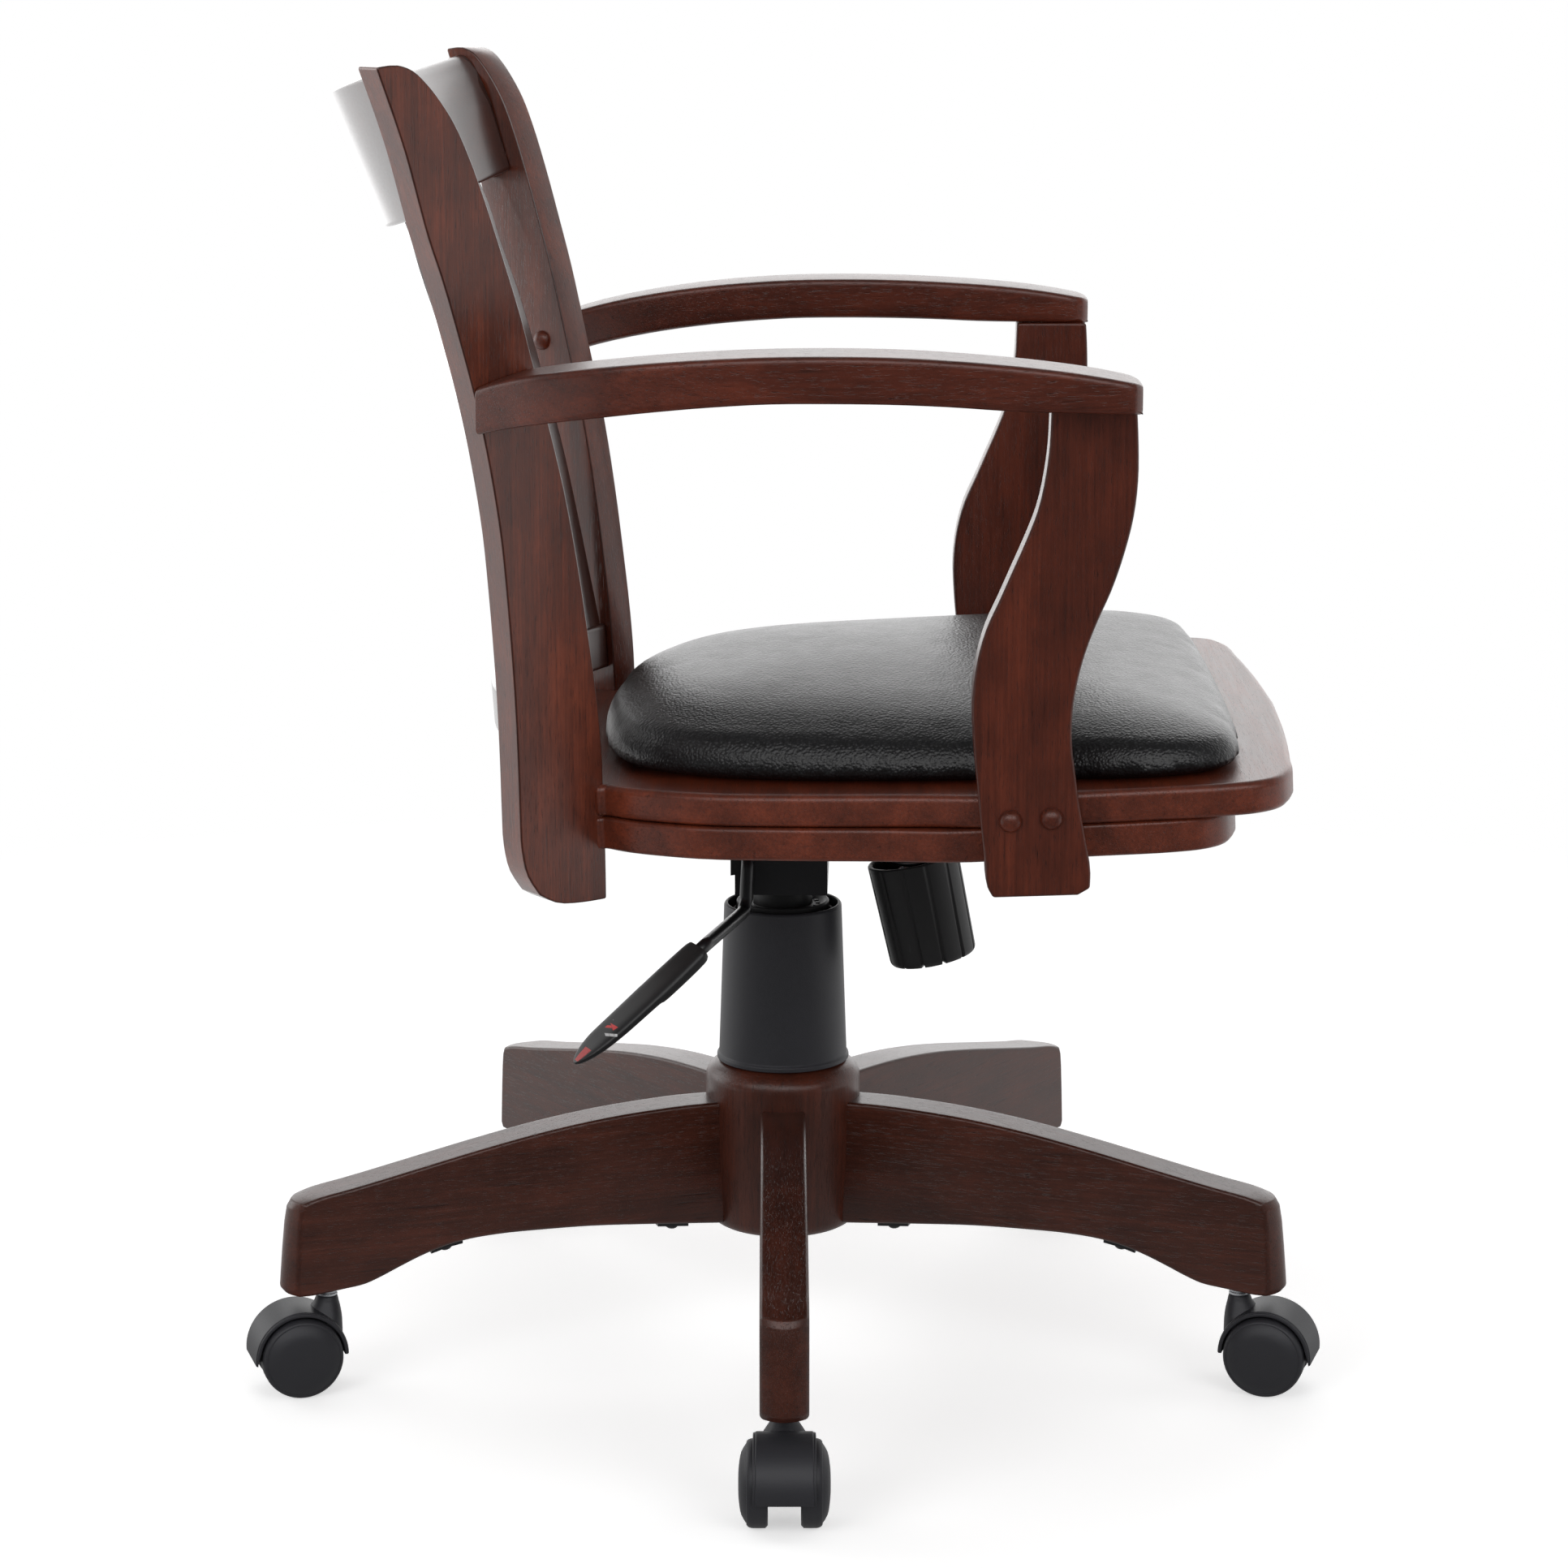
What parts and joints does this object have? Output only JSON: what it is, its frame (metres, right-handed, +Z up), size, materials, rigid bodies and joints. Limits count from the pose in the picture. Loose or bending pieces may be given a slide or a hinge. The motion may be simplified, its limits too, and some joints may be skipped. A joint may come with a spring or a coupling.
{
  "type": "bankers swivel chair",
  "caption": "Wooden office armchair with a slatted curved back, a black vinyl seat cushion, a swivel-tilt gas-lift column and a star base on twin-wheel casters.",
  "frame": {"origin": "middle of the chair's footprint box on the floor", "axes": "+Z up, the sitter faces -Y, +X to the sitter's left"},
  "size_m": [0.6444, 0.6652, 0.8084],
  "materials": {
    "stained_wood": "reddish-brown stain under satin lacquer",
    "dark_stained_wood": "darker reddish-brown stain under satin lacquer",
    "black_plastic": "fine-textured moulded",
    "painted_steel": "black powder coat",
    "bright_steel": "bright plated or ground",
    "black_vinyl": "pebbled vinyl with a soft sheen"
  },
  "bodies": {
    "base": {"base_spider": "painted_steel", "hub_shell": "stained_wood", "leg_1": "stained_wood", "leg_2": "stained_wood", "leg_3": "stained_wood", "leg_4": "stained_wood", "leg_5": "stained_wood", "column_tube": "painted_steel", "cover_outer": "black_plastic", "thrust_bearing": "bright_steel", "caster_1_stem": "bright_steel", "caster_2_stem": "bright_steel", "caster_3_stem": "bright_steel", "caster_4_stem": "bright_steel", "caster_5_stem": "bright_steel"},
    "middle_sleeve": {"cover_middle": "black_plastic"},
    "rod": {"piston_rod": "bright_steel"},
    "column": {"gas_cylinder": "bright_steel", "cover_inner": "black_plastic", "mechanism_housing": "painted_steel", "tilt_axle": "bright_steel", "tension_spring": "bright_steel"},
    "valve": {"valve_button": "bright_steel"},
    "lever_slider": {"lever_bush": "black_plastic"},
    "lever": {"lever_rod": "painted_steel", "lever_paddle": "black_plastic"},
    "seat": {"seat_plate": "painted_steel", "seat_underframe": "stained_wood", "seat_board": "stained_wood", "seat_pad": "black_vinyl", "back_post_right": "stained_wood", "back_post_left": "stained_wood", "crest_rail": "dark_stained_wood", "lower_rail": "dark_stained_wood", "slat_1": "dark_stained_wood", "slat_2": "dark_stained_wood", "slat_3": "dark_stained_wood", "slat_4": "dark_stained_wood", "slat_5": "dark_stained_wood", "arm_right": "stained_wood", "arm_left": "stained_wood", "arm_post_right": "stained_wood", "arm_post_left": "stained_wood", "tension_bolt": "bright_steel"},
    "knob": {"tension_knob": "black_plastic"},
    "caster_1": {"caster_1_hood": "black_plastic"},
    "caster_1_left_wheel": {"caster_1_wheel_left": "black_plastic"},
    "caster_1_right_wheel": {"caster_1_wheel_right": "black_plastic"},
    "caster_2": {"caster_2_hood": "black_plastic"},
    "caster_2_left_wheel": {"caster_2_wheel_left": "black_plastic"},
    "caster_2_right_wheel": {"caster_2_wheel_right": "black_plastic"},
    "caster_3": {"caster_3_hood": "black_plastic"},
    "caster_3_left_wheel": {"caster_3_wheel_left": "black_plastic"},
    "caster_3_right_wheel": {"caster_3_wheel_right": "black_plastic"},
    "caster_4": {"caster_4_hood": "black_plastic"},
    "caster_4_left_wheel": {"caster_4_wheel_left": "black_plastic"},
    "caster_4_right_wheel": {"caster_4_wheel_right": "black_plastic"},
    "caster_5": {"caster_5_hood": "black_plastic"},
    "caster_5_left_wheel": {"caster_5_wheel_left": "black_plastic"},
    "caster_5_right_wheel": {"caster_5_wheel_right": "black_plastic"}
  },
  "joints": [
    {"name": "seat_swivel", "type": "hinge", "parent": "base", "child": "rod", "pos_m": [0.02216, 0.00223, 0.085], "axis": [0, 0, 1], "continuous": true},
    {"name": "seat_lift", "type": "slide", "parent": "rod", "child": "column", "axis": [0, 0, 1], "range_m": [0, 0.1]},
    {"name": "middle_sleeve_lift", "type": "slide", "parent": "base", "child": "middle_sleeve", "axis": [0, 0, 1], "range_m": [0, 0.05]},
    {"name": "seat_tilt", "type": "hinge", "parent": "column", "child": "seat", "pos_m": [0.02216, -0.01877, 0.332], "axis": [-1, 0, 0], "range_deg": [0, 12], "stiffness_Nm_per_rad": 150, "springref_deg": -14.32, "deforming": ["tension_spring"]},
    {"name": "tension_knob_turn", "type": "hinge", "parent": "seat", "child": "knob", "pos_m": [0.02216, -0.09257, 0.2504], "axis": [0, 0.2079, 0.9781], "range_deg": [-720, 720]},
    {"name": "lever_pull", "type": "slide", "parent": "column", "child": "lever_slider", "axis": [-1, 0, 0], "range_m": [0, 0.012]},
    {"name": "lever_lift", "type": "hinge", "parent": "lever_slider", "child": "lever", "pos_m": [0.02216, 0.02223, 0.328], "axis": [1, 0, 0], "range_deg": [0, 8], "stiffness_Nm_per_rad": 2, "springref_deg": -6.88},
    {"name": "valve_press", "type": "slide", "parent": "column", "child": "valve", "axis": [0, 0, -1], "range_m": [0, 0.0028]},
    {"name": "caster_1_swivel", "type": "hinge", "parent": "base", "child": "caster_1", "pos_m": [-0.27374, -0.00516, 0.055], "axis": [0, 0, 1], "continuous": true},
    {"name": "caster_1_left_roll", "type": "hinge", "parent": "caster_1", "child": "caster_1_left_wheel", "pos_m": [-0.2927, -0.01498, 0.025], "axis": [0.025, -0.9997, 0], "continuous": true},
    {"name": "caster_1_right_roll", "type": "hinge", "parent": "caster_1", "child": "caster_1_right_wheel", "pos_m": [-0.29317, 0.00371, 0.025], "axis": [0.025, -0.9997, 0], "continuous": true},
    {"name": "caster_2_swivel", "type": "hinge", "parent": "base", "child": "caster_2", "pos_m": [-0.06225, -0.28148, 0.055], "axis": [0, 0, 1], "continuous": true},
    {"name": "caster_2_left_roll", "type": "hinge", "parent": "caster_2", "child": "caster_2_left_wheel", "pos_m": [-0.05877, -0.30255, 0.025], "axis": [0.9585, -0.2852, 0], "continuous": true},
    {"name": "caster_2_right_roll", "type": "hinge", "parent": "caster_2", "child": "caster_2_right_wheel", "pos_m": [-0.07669, -0.29721, 0.025], "axis": [0.9585, -0.2852, 0], "continuous": true},
    {"name": "caster_3_swivel", "type": "hinge", "parent": "base", "child": "caster_3", "pos_m": [0.2659, -0.16572, 0.055], "axis": [0, 0, 1], "continuous": true},
    {"name": "caster_3_left_roll", "type": "hinge", "parent": "caster_3", "child": "caster_3_left_wheel", "pos_m": [0.28702, -0.16892, 0.025], "axis": [0.5674, 0.8234, 0], "continuous": true},
    {"name": "caster_3_right_roll", "type": "hinge", "parent": "caster_3", "child": "caster_3_right_wheel", "pos_m": [0.27641, -0.18432, 0.025], "axis": [0.5674, 0.8234, 0], "continuous": true},
    {"name": "caster_4_swivel", "type": "hinge", "parent": "base", "child": "caster_4", "pos_m": [0.25722, 0.18214, 0.055], "axis": [0, 0, 1], "continuous": true},
    {"name": "caster_4_left_roll", "type": "hinge", "parent": "caster_4", "child": "caster_4_left_wheel", "pos_m": [0.26678, 0.20123, 0.025], "axis": [-0.6078, 0.7941, 0], "continuous": true},
    {"name": "caster_4_right_roll", "type": "hinge", "parent": "caster_4", "child": "caster_4_right_wheel", "pos_m": [0.27815, 0.18638, 0.025], "axis": [-0.6078, 0.7941, 0], "continuous": true},
    {"name": "caster_5_swivel", "type": "hinge", "parent": "base", "child": "caster_5", "pos_m": [-0.0763, 0.28137, 0.055], "axis": [0, 0, 1], "continuous": true},
    {"name": "caster_5_left_roll", "type": "hinge", "parent": "caster_5", "child": "caster_5_left_wheel", "pos_m": [-0.09151, 0.29637, 0.025], "axis": [-0.943, -0.3327, 0], "continuous": true},
    {"name": "caster_5_right_roll", "type": "hinge", "parent": "caster_5", "child": "caster_5_right_wheel", "pos_m": [-0.07387, 0.30259, 0.025], "axis": [-0.943, -0.3327, 0], "continuous": true}
  ],
  "couplings": [
    {"joint": "middle_sleeve_lift", "follows": "seat_lift", "ratio": 0.5},
    {"joint": "valve_press", "follows": "lever_lift", "m_per_rad": 0.02}
  ]
}
